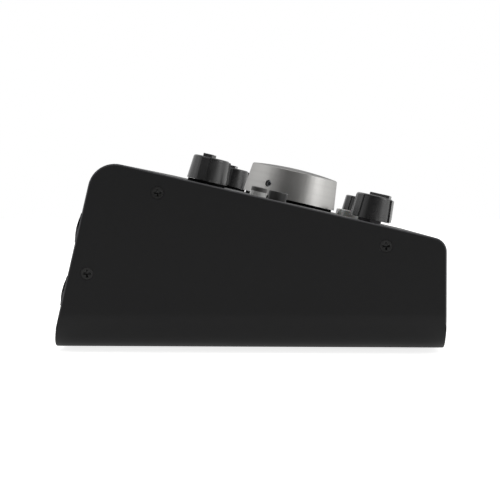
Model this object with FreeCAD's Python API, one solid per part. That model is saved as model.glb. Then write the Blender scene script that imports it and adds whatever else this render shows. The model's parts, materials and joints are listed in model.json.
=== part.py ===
# Desktop studio monitor controller: a wedge-shaped steel desktop unit with one large
# level dial, four small level knobs, push buttons, quarter-inch jacks and its boards.
#
# Millimetres. +X runs along the width, -Y is the front face, +Z is up. The origin is the
# centre of the footprint, on the surface that the feet stand on.
import FreeCAD, Part
import math
import os
from FreeCAD import Vector

# ---------------------------------------------------------------- driving dimensions
WIDTH = 196.0  # over the side walls
FRONT_HEIGHT = 48.2  # floor to the panel at the front face
PANEL_LENGTH = 152.4  # along the slope, sharp corner to sharp corner
PANEL_TILT = 13.1  # degrees that the panel rises to the rear; the rear face is square to it
SHEET = 1.5  # steel sheet
SIDE_BEND = 16.0  # outer radius between a side and the bottom
FRONT_BEND = 6.0  # outer radius between the front face and the panel
REAR_BEND = 11.5  # outer radius between the panel and the rear face
REAR_LIP = 5.0  # flat of the cover below the rear bend, down to the rear panel's edge

FOOT_HEIGHT = 1.5
FOOT_RADIUS = 6.0
FOOT_INSET = 36.0  # foot centre from the side walls
FOOT_SETBACK = 22.0  # foot centre from the front face and from the rear lower edge
FOOT_CHAMFER = 0.4

# side screws, countersunk in the side walls, into tabs of the cover and the rear panel
SCREW_INSET = 8.0  # screw axis inside the outline
FRONT_SCREW = 24.2  # from the panel's front corner
COVER_SCREW = 29.5  # from its rear corner
REAR_SCREW = 48.1  # down the rear face from its top corner
SCREW_RADIUS = 1.5
SCREW_LENGTH = 6.5
SCREW_HEAD_RADIUS = 2.8
SCREW_HEAD_DEPTH = 1.3
SCREW_SUNK = 0.15  # head below the wall's surface
SCREW_RING = 0.3  # gap round the head in that sunk ring
SCREW_CROSS = (3.2, 0.7, 0.9)  # length, width and depth of the driver's slots
TAB_HALF = 8.0
TAB_BEYOND = 6.0  # tab past the screw's axis
TAB_CORNER = 3.0
NUT_RADIUS = 2.9
NUT_LENGTH = 2.5

# main board, hung under the panel on spacers
BOARD = 1.6
BOARD_DROP = 12.0  # panel surface to the board's upper face
BOARD_SIDE_GAP = 10.0  # side walls to the board
BOARD_FRONT = 12.0
BOARD_REAR_GAP = 3.6  # to the rear board
SPACER_INSET = 14.0  # from the side walls
SPACER_FRONT = 18.0  # from the panel's front corner
SPACER_REAR = 35.7  # from its rear corner
SPACER_RADIUS = 2.75
SPACER_THREAD = 7.0
BOARD_SCREW_HEAD = (2.8, 2.0)  # radius and height

# large level dial, centred behind the row of mode buttons
DIAL_CLEAR = 1.9  # mode buttons to the skirt, along the panel
DIAL_GAP = 1.3  # panel to the skirt
DIAL_SKIRT_RADIUS = 23.3
DIAL_TAPER = 1.7  # skirt's radius less the shoulder's
DIAL_SHOULDER = 15.8
DIAL_EDGE = 0.45  # break of the shoulder's edge
DIAL_TOP = 17.3
DIAL_WALL = 5.3  # skirt's radius less its hollow's
DIAL_MARK = (8.1, 2.1, 1.0, 1.6)  # groove: its ends inside the shoulder, width, floor below the apex
SET_SCREW_RADIUS = 1.65
SET_SCREW_SUNK = 1.2  # outer end below the dial's side
SET_SCREW_HEIGHT = 7.0
SET_SCREW_TURN = 150.6  # degrees round the dial from +X
SET_SCREW_SOCKET = (0.9, 2.0)  # half the width over flats, and depth
SEAT_RING_INSIDE = 1.3  # skirt's edge to the felt ring's
SEAT_RING_WIDTH = 2.5
SEAT_RING_HEIGHT = 1.0

# potentiometers
SHAFT_RADIUS = 3.0
SHAFT_PLAY = 0.05  # radial, in its bushing
BORE_PLAY = 0.0  # radial, knob pushed on its shaft
MAIN_BUSHING = SHAFT_RADIUS + SHAFT_PLAY + 1.45  # radius, with the bushing's own wall
SMALL_BUSHING = SHAFT_RADIUS + SHAFT_PLAY + 0.45
MAIN_POT = {"half": 8.5, "bushing": MAIN_BUSHING, "top": 4.0, "nut": MAIN_BUSHING + 2.0, "nut_height": 2.0}
SMALL_POT = {"half": 5.5, "bushing": SMALL_BUSHING, "top": 4.4, "nut": SMALL_BUSHING + 1.5, "nut_height": 2.0}
RECESS_CLEAR = 0.8  # knob's hollow clear of the bushing's end
WASHER = 0.4
SHAFT_FOOT = 6.0  # shaft below the panel surface
SHAFT_END_GAP = 0.5
BUSHING_PLAY = 0.1  # radial, bushing in the panel
DIAL_SHAFT_TOP = 14.0
KNOB_SHAFT_TOP = 9.4
SHAFT_TIP_GAP = 0.2

# small level knobs
KNOB_INSET = 20.0  # knob axis from the side wall
KNOB_FRONT = 32.5  # from the panel's front corner
KNOB_REAR = 46.9  # from its rear corner
KNOB_GAP = 1.3
KNOB_SKIRT_RADIUS = 8.85
KNOB_TAPER = 0.85  # skirt's radius less the rim's
KNOB_TOP = 11.8
KNOB_EDGE = 1.1
NUT_CLEAR = 0.6  # nut's corners to the knob's hollow
RIB_WIDTH = 3.4
RIB_PROUD = 0.45
RIB_BELOW = 0.5  # rib's end below the knob's top
RIB_COUNT = 3
POINTER_TOP = 13.05
POINTER_FOOT = 1.2  # pointer's foot below the knob's top
POINTER_WIDTHS = (2.0, 4.4)  # at the tail and at the nose
POINTER_TAIL = 2.4
POINTER_NOSE = 1.1  # nose inside the knob's rim
POINTER_EDGE = 0.5
LOWER_STOP = 252.0  # degrees from +X that the knobs point to at their lower stop
REAR_KNOBS_TURNED = 85.0  # degrees clockwise from that stop
KNOB_RING = (8.3, 1.0)  # felt ring under a rear knob: outer radius and height

# push buttons in the panel: place from the front corner, radius, height and edge of the cap
MODE_BUTTON_PITCH = 24.0
MODE_BUTTON = {"along": 39.25, "radius": 5.75, "top": 3.0, "edge": 0.6}
MUTE_BUTTON = {"inset": 23.0, "along": 73.9, "radius": 4.2, "top": 3.9, "edge": 0.5}
CUE_BUTTON = {"inset": 43.0, "along": 83.3, "radius": 3.9, "top": 4.1, "edge": 0.9}
CUE_CAP_FOOT = 2.0  # light collar up to here, dark cap above
CUE_CAP_STEP = 0.25
BUTTON_PLAY = 0.25  # radial, cap in the panel
BUTTON_FLANGE = 0.85  # flange beyond the cap
BUTTON_FLANGE_HEIGHT = 1.0
BUTTON_FLANGE_GAP = 0.1
BUTTON_TRAVEL = 1.2
STEM_RADIUS = 1.5
STEM_PLAY = 0.1
STEM_IN_SWITCH = 0.8
SWITCH_HALF = 3.5
SWITCH_HEIGHT = 4.3
SWITCH_WELL = 3.2
LED_SIZE = (2.0, 1.6, 1.0)
LED_OFFSET = 5.2
MIC = (3.0, 5.0)  # talkback capsule's radius and height, on the main board
MIC_HOLE = 0.8
MIC_AHEAD = 11.0  # in front of the talkback button

# quarter-inch jacks
PLUG_HOLE = 3.25  # radius of the way in
JACK_PROUD = 2.6
JACK_BUSHING = 5.2
JACK_BODY = (15.5, 14.0, 24.0)  # across, up, deep
JACK_BLIND = 3.5  # wall behind the plug's tip
JACK_NUT = (1.3, 2.2)  # wall outside the bushing, and height
REAR_JACK_INSET = 15.0  # first jack from the left side wall
REAR_JACK_PITCH = 23.0
REAR_JACK_COLUMNS = 4
UPPER_ROW = 30.9  # down the rear face from its top corner
LOWER_ROW = 58.9
PHONES_JACK_INSET = 30.0  # from the side walls
PHONES_JACK_DROP = 22.2  # below the panel's front corner

# other rear connectors, all in the lower row
USB_INSET = 78.0  # from the right side wall
USB_SHELL = (12.0, 11.0)
USB_MOUTH = (8.5, 7.8)
USB_DEPTH = 11.0
USB_CHAMFER = 1.6
USB_TONGUE = (5.6, 3.2)
USB_TONGUE_BACK = 1.0  # tongue's tip inside the mouth
INLET_INSET = 52.0
INLET_HALF = 5.5
INLET_RADIUS = 2.9
INLET_DEPTH = 10.0
INLET_PIN = 1.0
INLET_PIN_BACK = 0.8
SOCKET_PROUD = 0.4
SOCKET_PLAY = 0.1
POWER_INSET = 22.0
POWER_BUTTON = {"radius": 4.75, "top": 3.2, "edge": 0.6}
POWER_TRAVEL = 1.5
POWER_SWITCH_HALF = 6.0
POWER_SWITCH_FRONT = 7.0  # inside the rear face
POWER_WELL = 4.0

# rear and phones boards, square to the connectors
REAR_BOARD_SIDE_GAP = 9.0
REAR_BOARD_SPAN = (20.0, 68.0)  # down the rear face
PHONES_BOARD_SIDE_GAP = 21.0
PHONES_BOARD_HALF = 9.0  # above and below its jacks

# ribbon cables with their headers, and the larger parts under the main board
RIBBON_WIDTH = 25.4
RIBBON = 1.0
RIBBON_BEND = 5.0
HEADER = (30.0, 6.0, 6.0)
REAR_RIBBON_FROM_REAR = 53.7
REAR_RIBBON_DOWN = 45.0
PHONES_RIBBON_ALONG = 46.0
CHIP = (9.5, 6.5, 3.5)
CHIP_AT = ((38.0, 50.0), (62.0, 50.0), (50.0, 88.0))  # from a side wall and the front corner
RELAY = (15.0, 7.5, 10.0)
RELAY_AT = ((28.0, 70.0), (52.0, 70.0))
CAPACITOR = (4.0, 11.0)
CAPACITOR_X = (12.0, 24.0)
CAPACITOR_ROW = 84.0

# ---------------------------------------------------------------- derived places
TILT = math.radians(PANEL_TILT)
REAR_FALL = (FRONT_HEIGHT - FOOT_HEIGHT + PANEL_LENGTH * math.sin(TILT)) / math.cos(TILT)
DEPTH = PANEL_LENGTH * math.cos(TILT) + REAR_FALL * math.sin(TILT)
FRONT_Y = (JACK_PROUD - DEPTH) / 2
INNER_X = WIDTH / 2 - SHEET
FOOT_X = WIDTH / 2 - FOOT_INSET
KNOB_X = WIDTH / 2 - KNOB_INSET
KNOB_TOP_RADIUS = KNOB_SKIRT_RADIUS - KNOB_TAPER
KNOB_RECESS_RADIUS = SMALL_POT["nut"] / math.cos(math.pi / 6) + NUT_CLEAR
DIAL_AT = (0, MODE_BUTTON["along"] + MODE_BUTTON["radius"] + DIAL_CLEAR + DIAL_SKIRT_RADIUS)
DIAL_SHOULDER_RADIUS = DIAL_SKIRT_RADIUS - DIAL_TAPER
PHONES_JACK_X = WIDTH / 2 - PHONES_JACK_INSET
PHONES_JACK_HEIGHT = FRONT_HEIGHT - PHONES_JACK_DROP
USB_X, INLET_X, POWER_X = (WIDTH / 2 - inset for inset in (USB_INSET, INLET_INSET, POWER_INSET))
SPACER_X = WIDTH / 2 - SPACER_INSET
COVER_SCREWS = (FRONT_SCREW, PANEL_LENGTH - COVER_SCREW)
SPACERS = [(x, y) for y in (SPACER_FRONT, PANEL_LENGTH - SPACER_REAR) for x in (-SPACER_X, 0, SPACER_X)]
BOARD_TOP = -BOARD_DROP
BOARD_UNDER = BOARD_TOP - BOARD
JACK_END = -SHEET - JACK_BODY[2]
BOARD_REAR = PANEL_LENGTH + JACK_END - BOARD - BOARD_REAR_GAP
FAR = 3 * max(WIDTH, PANEL_LENGTH)

X, Y, Z = Vector(1, 0, 0), Vector(0, 1, 0), Vector(0, 0, 1)
SLOPE = Vector(0, math.cos(TILT), math.sin(TILT))
SQUARE = Vector(0, -math.sin(TILT), math.cos(TILT))


def frame(origin, across, up):
    """Placement whose local X runs across, local Y up and local Z out of the face."""
    out = across.cross(up)
    rows = [(getattr(across, k), getattr(up, k), getattr(out, k), getattr(origin, k)) for k in "xyz"]
    return FreeCAD.Placement(FreeCAD.Matrix(*rows[0], *rows[1], *rows[2], 0, 0, 0, 1))


FRONT_CORNER = Vector(0, FRONT_Y, FRONT_HEIGHT)
REAR_CORNER = FRONT_CORNER + SLOPE * PANEL_LENGTH
PANEL = frame(FRONT_CORNER, X, SLOPE)  # local: across, along, height above the panel
REAR = frame(REAR_CORNER, -X, SQUARE)  # local: -across, up the rear face, out of it
FRONT = frame(Vector(0, FRONT_Y, 0), X, Z)  # local: across, up, out of the front face
FLOOR = frame(Vector(0, 0, 0), X, Y)


# ---------------------------------------------------------------- shape helpers
def placed(shape, where):
    moved = shape.copy()
    moved.Placement = where.multiply(moved.Placement)
    return moved


def box(x, y, low, high, size_x, size_y):
    """Box centred on (x, y), from low to high."""
    corner = Vector(x - size_x / 2, y - size_y / 2, low)
    return Part.makeBox(size_x, size_y, high - low, corner)


def rod(x, y, low, high, radius):
    return Part.makeCylinder(radius, high - low, Vector(x, y, low))


def hex_bar(x, y, low, high, half_flats):
    radius = half_flats / math.cos(math.pi / 6)
    turns = [math.pi / 3 * k for k in range(7)]
    points = [Vector(x + radius * math.cos(a), y + radius * math.sin(a), low) for a in turns]
    return Part.Face(Part.makePolygon(points)).extrude(Z * (high - low))


def rounded_wire(corners, radii):
    """Closed outline through the corners, with an arc of the given radius at each."""
    edges = []
    ends = []
    for k, corner in enumerate(corners):
        back = (corners[k - 1] - corner).normalize()
        on = (corners[(k + 1) % len(corners)] - corner).normalize()
        half = back.getAngle(on) / 2
        radius = radii[k]
        cut = radius / math.tan(half)
        start, stop = corner + back * cut, corner + on * cut
        if radius > 0:
            inward = (back + on).normalize()
            middle = corner + inward * (radius / math.sin(half) - radius)
            edges.append(Part.Arc(start, middle, stop).toShape())
        ends.append((start, stop, len(edges)))
    lines = []
    for k, (start, stop, _) in enumerate(ends):
        next_start = ends[(k + 1) % len(ends)][0]
        if (next_start - stop).Length > 1e-6:
            lines.append(Part.LineSegment(stop, next_start).toShape())
    return Part.Wire(Part.__sortEdges__(edges + lines))


def turned(points, radii=None):
    """Solid of revolution about local Z from (radius, height) points."""
    corners = [Vector(r, 0, h) for r, h in points]
    wire = rounded_wire(corners, radii or [0] * len(corners))
    return Part.Face(wire).revolve(Vector(0, 0, 0), Z, 360)


def at(shape, x, y, turn=0.0):
    """Shape turned about local Z and moved to (x, y) of its face."""
    return placed(shape, FreeCAD.Placement(Vector(x, y, 0), FreeCAD.Rotation(Z, turn)))


def both_sides(shape):
    """The shape and its mirror image across the middle of the width."""
    return [shape, shape.mirror(Vector(0, 0, 0), X)]


# ---------------------------------------------------------------- enclosure outlines
def panel_point(along, height):
    return FRONT_CORNER + SLOPE * along + SQUARE * height


def side_outline(inset):
    """Side view of the enclosure, offset inward from front face, panel and rear face."""
    front_top = panel_point((inset - inset * math.sin(TILT)) / math.cos(TILT), -inset)
    rear_top = panel_point(PANEL_LENGTH - inset, -inset)
    rear_low = rear_top - SQUARE * ((rear_top.z - FOOT_HEIGHT) / math.cos(TILT))
    corners = [Vector(0, front_top.y, FOOT_HEIGHT), front_top, rear_top, rear_low]
    return rounded_wire(corners, [0, FRONT_BEND - inset, REAR_BEND - inset, 0])


def side_prism(inset):
    outline = side_outline(inset)
    outline.translate(X * -FAR)
    return Part.Face(outline).extrude(X * 2 * FAR)


def trough(inset):
    """Long solid with the front view of the folded base: walls, bottom and the two bends."""
    half = WIDTH / 2 - inset
    low = FOOT_HEIGHT + inset
    bend = SIDE_BEND - inset
    points = [(-half, low), (half, low), (half, FAR), (-half, FAR)]
    wire = rounded_wire([Vector(x, -FAR, z) for x, z in points], [bend, bend, 0, 0])
    return Part.Face(wire).extrude(Y * 2 * FAR)


def screw_places():
    """Axis of each left-hand side screw, as a point in the middle plane."""
    cover = [panel_point(along, -SCREW_INSET) for along in COVER_SCREWS]
    return cover + [panel_point(PANEL_LENGTH - SCREW_INSET, -REAR_SCREW)]


def left_wall(place):
    """Frame on the left wall's outside, local Z out of it."""
    return frame(Vector(-WIDTH / 2, place.y, place.z), -Y, Z)


def tab(where, middle, root, tip):
    """Folded tab of one sheet, flat against the inside of the left wall."""
    low, high = middle - TAB_HALF, middle + TAB_HALF
    points = [(low, root), (high, root), (high, tip), (low, tip)]
    if where is PANEL:
        corners = [Vector(-INNER_X, along, height) for along, height in points]
    else:
        corners = [Vector(INNER_X, height, along) for height, along in points]
    inward = X if where is PANEL else -X
    face = Part.Face(rounded_wire(corners, [0, 0, TAB_CORNER, TAB_CORNER]))
    return placed(face.extrude(inward * SHEET), where)


def tapped_holes():
    """Bores of the side screws through the tabs."""
    holes = [placed(rod(0, 0, -FAR / 4, 0, SCREW_RADIUS), left_wall(p)) for p in screw_places()]
    return [side for hole in holes for side in both_sides(hole)]


def cover_strip():
    """Front, panel and rear as one folded strip that fits between the side walls."""
    return side_prism(0).cut(side_prism(SHEET)).common(trough(SHEET))


def rear_split():
    """Everything behind and below the cover's rear lip."""
    high = -REAR_BEND - REAR_LIP
    return placed(box(0, high - FAR / 2, -SHEET, FAR, 2 * FAR, FAR), REAR)


# ---------------------------------------------------------------- enclosure pieces
def make_base_shell():
    shell = trough(0).cut(trough(SHEET)).common(side_prism(0))
    sunk = rod(0, 0, -SCREW_SUNK, SHEET, SCREW_HEAD_RADIUS + SCREW_RING)
    cone = Part.makeCone(
        SCREW_RADIUS, SCREW_HEAD_RADIUS, SCREW_HEAD_DEPTH, Vector(0, 0, -SCREW_SUNK - SCREW_HEAD_DEPTH)
    )
    hole = sunk.fuse([cone, rod(0, 0, -2 * SHEET, 0, SCREW_RADIUS)])
    holes = [side for p in screw_places() for side in both_sides(placed(hole, left_wall(p)))]
    return shell.cut(holes)


def panel_holes():
    holes = [rod(*DIAL_AT, -2 * SHEET, SHEET, MAIN_POT["bushing"] + BUSHING_PLAY)]
    for x, along in knob_places().values():
        holes.append(rod(x, along, -2 * SHEET, SHEET, SMALL_POT["bushing"] + BUSHING_PLAY))
    for x, along, button in button_places().values():
        holes.append(rod(x, along, -2 * SHEET, SHEET, button["radius"] + BUTTON_PLAY))
    holes.append(rod(*mic_place(), -2 * SHEET, SHEET, MIC_HOLE))
    return [placed(hole, PANEL) for hole in holes]


def make_wrap_cover():
    cover = cover_strip().cut(rear_split())
    tip = -SCREW_INSET - TAB_BEYOND
    tabs = [t for along in COVER_SCREWS for t in both_sides(tab(PANEL, along, -SHEET, tip))]
    phones = [
        placed(rod(x, PHONES_JACK_HEIGHT, -2 * SHEET, SHEET, JACK_BUSHING + BUSHING_PLAY), FRONT)
        for x in (-PHONES_JACK_X, PHONES_JACK_X)
    ]
    return cover.fuse(tabs).cut(tapped_holes() + panel_holes() + phones).removeSplitter()


def make_rear_panel():
    panel = cover_strip().common(rear_split())
    tip = -SCREW_INSET - TAB_BEYOND
    tabs = both_sides(tab(REAR, -REAR_SCREW, -SHEET, tip))
    holes = [rod(x, y, -2 * SHEET, SHEET, JACK_BUSHING + BUSHING_PLAY) for x, y in rear_jack_places()]
    usb_size = [side + 2 * SOCKET_PLAY for side in USB_SHELL]
    holes.append(box(-USB_X, -LOWER_ROW, -2 * SHEET, SHEET, *usb_size))
    inlet_size = 2 * (INLET_HALF + SOCKET_PLAY)
    holes.append(box(-INLET_X, -LOWER_ROW, -2 * SHEET, SHEET, inlet_size, inlet_size))
    power_hole = POWER_BUTTON["radius"] + BUTTON_PLAY
    holes.append(rod(-POWER_X, -LOWER_ROW, -2 * SHEET, SHEET, power_hole))
    holes = [placed(hole, REAR) for hole in holes]
    return panel.fuse(tabs).cut(tapped_holes() + holes).removeSplitter()


def make_side_screws():
    top = -SCREW_SUNK
    foot = top - SCREW_HEAD_DEPTH
    head = Part.makeCone(SCREW_RADIUS, SCREW_HEAD_RADIUS, SCREW_HEAD_DEPTH, Vector(0, 0, foot))
    screw = head.fuse(rod(0, 0, -SCREW_LENGTH, foot, SCREW_RADIUS))
    length, width, depth = SCREW_CROSS
    slots = [box(0, 0, top - depth, top, length, width), box(0, 0, top - depth, top, width, length)]
    screw = screw.cut(slots)
    return [side for p in screw_places() for side in both_sides(placed(screw, left_wall(p)))]


def make_clinch_nuts():
    low = -2 * SHEET - NUT_LENGTH
    nut = rod(0, 0, low, -2 * SHEET, NUT_RADIUS).cut(rod(0, 0, low, -2 * SHEET, SCREW_RADIUS))
    return [side for p in screw_places() for side in both_sides(placed(nut, left_wall(p)))]


def make_feet():
    low_radius = FOOT_RADIUS - FOOT_CHAMFER
    profile = [(0, 0), (low_radius, 0), (FOOT_RADIUS, FOOT_CHAMFER), (FOOT_RADIUS, FOOT_HEIGHT), (0, FOOT_HEIGHT)]
    foot = turned(profile)
    places = (FRONT_Y + FOOT_SETBACK, FRONT_Y + DEPTH - FOOT_SETBACK)
    return [side for y in places for side in both_sides(at(foot, -FOOT_X, y))]


# ---------------------------------------------------------------- boards
def make_main_board():
    middle, length = (BOARD_FRONT + BOARD_REAR) / 2, BOARD_REAR - BOARD_FRONT
    board = box(0, middle, BOARD_UNDER, BOARD_TOP, WIDTH - 2 * BOARD_SIDE_GAP, length)
    holes = [rod(x, y, BOARD_UNDER, BOARD_TOP, SCREW_RADIUS) for x, y in SPACERS]
    return placed(board.cut(holes), PANEL)


def make_board_spacers():
    spacer = rod(0, 0, BOARD_TOP, -SHEET, SPACER_RADIUS)
    spacer = spacer.cut(rod(0, 0, BOARD_TOP, BOARD_TOP + SPACER_THREAD, SCREW_RADIUS))
    return [placed(at(spacer, x, y), PANEL) for x, y in SPACERS]


def make_board_screws():
    radius, height = BOARD_SCREW_HEAD
    head = rod(0, 0, BOARD_UNDER - height, BOARD_UNDER, radius)
    screw = head.fuse(rod(0, 0, BOARD_UNDER, BOARD_TOP + SPACER_THREAD, SCREW_RADIUS))
    return [placed(at(screw, x, y), PANEL) for x, y in SPACERS]


def make_rear_board():
    high, low = (-down for down in REAR_BOARD_SPAN)
    width = WIDTH - 2 * REAR_BOARD_SIDE_GAP
    board = box(0, (high + low) / 2, JACK_END - BOARD, JACK_END, width, high - low)
    return placed(board, REAR)


def make_phones_board():
    width = WIDTH - 2 * PHONES_BOARD_SIDE_GAP
    board = box(0, PHONES_JACK_HEIGHT, JACK_END - BOARD, JACK_END, width, 2 * PHONES_BOARD_HALF)
    return placed(board, FRONT)


def under_board(size, places):
    """Blocks under the main board, in pairs at their distances from the side walls."""
    sx, sy, height = size
    block = box(0, 0, BOARD_UNDER - height, BOARD_UNDER, sx, sy)
    pairs = [both_sides(at(block, WIDTH / 2 - inset, along)) for inset, along in places]
    return [placed(side, PANEL) for pair in pairs for side in pair]


def make_capacitors():
    radius, height = CAPACITOR
    can = rod(0, 0, BOARD_UNDER - height, BOARD_UNDER, radius)
    pairs = [both_sides(at(can, x, CAPACITOR_ROW)) for x in CAPACITOR_X]
    return [placed(side, PANEL) for pair in pairs for side in pair]


def ribbon_solid(path):
    """Flat ribbon along a path of three points in the middle plane, with one bend."""
    start, corner, stop = path
    first, last = (corner - start).normalize(), (stop - corner).normalize()
    side_a, side_b = X.cross(first) * (RIBBON / 2), X.cross(last) * (RIBBON / 2)
    miter = (side_a + side_b) / (1 + first.dot(last))
    near = RIBBON_BEND - RIBBON / 2
    far = RIBBON_BEND + RIBBON / 2
    plus_is_inner = side_a.dot(last) > 0
    plus, minus = (near, far) if plus_is_inner else (far, near)
    corners = [start + side_a, corner + miter, stop + side_b, stop - side_b, corner - miter, start - side_a]
    wire = rounded_wire([c - X * (RIBBON_WIDTH / 2) for c in corners], [0, plus, 0, 0, minus, 0])
    return Part.Face(wire).extrude(X * RIBBON_WIDTH)


def make_rear_ribbon():
    along = PANEL_LENGTH - REAR_RIBBON_FROM_REAR
    start = panel_point(along, BOARD_UNDER - HEADER[2])
    corner = panel_point(along, -REAR_RIBBON_DOWN)
    stop = panel_point(PANEL_LENGTH + JACK_END - BOARD - HEADER[2], -REAR_RIBBON_DOWN)
    return ribbon_solid([start, corner, stop])


def phones_header_back():
    return FRONT_Y - JACK_END + BOARD + HEADER[2]


def make_phones_ribbon():
    start = Vector(0, phones_header_back(), PHONES_JACK_HEIGHT)
    stop = panel_point(PHONES_RIBBON_ALONG, BOARD_UNDER - HEADER[2])
    fall = (stop.z - PHONES_JACK_HEIGHT) / math.cos(TILT)
    return ribbon_solid([start, stop - SQUARE * fall, stop])


def make_ribbon_headers():
    sx, sy, height = HEADER
    top = BOARD_UNDER - height
    headers = [
        placed(box(0, along, top, BOARD_UNDER, sx, sy), PANEL)
        for along in (PANEL_LENGTH - REAR_RIBBON_FROM_REAR, PHONES_RIBBON_ALONG)
    ]
    back = JACK_END - BOARD
    headers.append(placed(box(0, -REAR_RIBBON_DOWN, back - height, back, sx, sy), REAR))
    headers.append(placed(box(0, PHONES_JACK_HEIGHT, back - height, back, sx, sy), FRONT))
    return headers


# ---------------------------------------------------------------- potentiometers
def pot_body(pot):
    side = 2 * pot["half"]
    body = box(0, 0, BOARD_TOP, -SHEET, side, side).fuse(rod(0, 0, -SHEET, pot["top"], pot["bushing"]))
    well = rod(0, 0, -SHAFT_FOOT - SHAFT_END_GAP, pot["top"], SHAFT_RADIUS + SHAFT_PLAY)
    return body.cut(well)


def pot_washer(pot):
    ring = rod(0, 0, 0, WASHER, pot["nut"])
    return ring.cut(rod(0, 0, 0, WASHER, pot["bushing"]))


def pot_nut(pot):
    top = WASHER + pot["nut_height"]
    return hex_bar(0, 0, WASHER, top, pot["nut"]).cut(rod(0, 0, WASHER, top, pot["bushing"]))


def shaft(top):
    return rod(0, 0, -SHAFT_FOOT, top, SHAFT_RADIUS)


def knob_places():
    rear = PANEL_LENGTH - KNOB_REAR
    return {
        "front_left": (-KNOB_X, KNOB_FRONT),
        "front_right": (KNOB_X, KNOB_FRONT),
        "rear_left": (-KNOB_X, rear),
        "rear_right": (KNOB_X, rear),
    }


def knob_turn(name):
    """Way that the pointer faces, in degrees from +X, seen from above the panel."""
    return LOWER_STOP - (REAR_KNOBS_TURNED if name.startswith("rear") else 0)


def on_knobs(shape):
    return [placed(at(shape, x, y), PANEL) for x, y in knob_places().values()]


# ---------------------------------------------------------------- dial and knobs
def dial_side(height):
    """Radius of the dial's tapered side at a height over the panel."""
    rise = (height - DIAL_GAP) / (DIAL_SHOULDER - DIAL_GAP)
    return DIAL_SKIRT_RADIUS - DIAL_TAPER * rise


def make_dial():
    """Turned aluminium dial: recess over the nut, blind bore, tapered wall, crowned top."""
    bore = SHAFT_RADIUS + BORE_PLAY
    bore_top = DIAL_SHAFT_TOP + SHAFT_TIP_GAP
    edge_low = (dial_side(DIAL_SHOULDER - DIAL_EDGE), DIAL_SHOULDER - DIAL_EDGE)
    edge_high = (DIAL_SHOULDER_RADIUS - DIAL_EDGE, DIAL_SHOULDER)
    crown = DIAL_TOP - DIAL_SHOULDER
    crown_radius = (edge_high[0] ** 2 + crown**2) / (2 * crown)
    half_way = edge_high[0] / 2
    crown_drop = crown_radius - math.sqrt(crown_radius**2 - half_way**2)
    hollow, hollow_top = DIAL_SKIRT_RADIUS - DIAL_WALL, MAIN_POT["top"] + RECESS_CLEAR
    path = [
        (0, bore_top),
        (bore, bore_top),
        (bore, hollow_top),
        (hollow, hollow_top),
        (hollow, DIAL_GAP),
        (DIAL_SKIRT_RADIUS, DIAL_GAP),
        edge_low,
        edge_high,
    ]
    points = [Vector(r, 0, h) for r, h in path]
    edges = [Part.LineSegment(a, b).toShape() for a, b in zip(points, points[1:])]
    apex = Vector(0, 0, DIAL_TOP)
    edges.append(Part.Arc(points[-1], Vector(half_way, 0, DIAL_TOP - crown_drop), apex).toShape())
    edges.append(Part.LineSegment(apex, points[0]).toShape())
    dial = Part.Face(Part.Wire(edges)).revolve(Vector(0, 0, 0), Z, 360)
    start, stop, width, depth = DIAL_MARK
    middle = DIAL_SHOULDER_RADIUS - (start + stop) / 2
    mark = box(0, middle, DIAL_TOP - depth, DIAL_TOP, width, start - stop)
    return placed(at(dial.cut([set_screw_hole(), mark]), *DIAL_AT), PANEL)


def radial(shape):
    """Turns a part made along local Z into the set screw's direction."""
    lie = FreeCAD.Placement(Vector(0, 0, SET_SCREW_HEIGHT), FreeCAD.Rotation(Y, 90))
    turn = FreeCAD.Placement(Vector(0, 0, 0), FreeCAD.Rotation(Z, SET_SCREW_TURN))
    return placed(placed(shape, lie), turn)


def set_screw_hole():
    return radial(rod(0, 0, 0, 2 * DIAL_SKIRT_RADIUS, SET_SCREW_RADIUS))


def make_dial_set_screw():
    half, depth = SET_SCREW_SOCKET
    start, stop = SHAFT_RADIUS, dial_side(SET_SCREW_HEIGHT) - SET_SCREW_SUNK
    screw = rod(0, 0, start, stop, SET_SCREW_RADIUS).cut(hex_bar(0, 0, stop - depth, stop, half))
    touching = radial(screw).cut(shaft(DIAL_SHAFT_TOP))
    return placed(at(touching, *DIAL_AT), PANEL)


def felt_ring(outer, width, height):
    return rod(0, 0, 0, height, outer).cut(rod(0, 0, 0, height, outer - width))


def make_dial_seat_ring():
    outer = DIAL_SKIRT_RADIUS - SEAT_RING_INSIDE
    return placed(at(felt_ring(outer, SEAT_RING_WIDTH, SEAT_RING_HEIGHT), *DIAL_AT), PANEL)


def make_knob_seat_rings():
    outer, height = KNOB_RING
    ring = felt_ring(outer, outer - KNOB_RECESS_RADIUS, height)
    return [placed(at(ring, x, y), PANEL) for name, (x, y) in knob_places().items() if "rear" in name]


def knob_rib():
    """Side rib that follows the knob's taper up to its rounded rim."""
    low, high = KNOB_GAP + RIB_PROUD, KNOB_TOP - RIB_BELOW
    points = [
        (KNOB_RECESS_RADIUS + RIB_PROUD, low),
        (KNOB_SKIRT_RADIUS + RIB_PROUD, low),
        (KNOB_TOP_RADIUS + RIB_PROUD, high),
        (KNOB_RECESS_RADIUS + RIB_PROUD, high),
    ]
    wire = rounded_wire([Vector(r, -RIB_WIDTH / 2, h) for r, h in points], [0, 0, RIB_PROUD, 0])
    return Part.Face(wire).extrude(Y * RIB_WIDTH)


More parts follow.
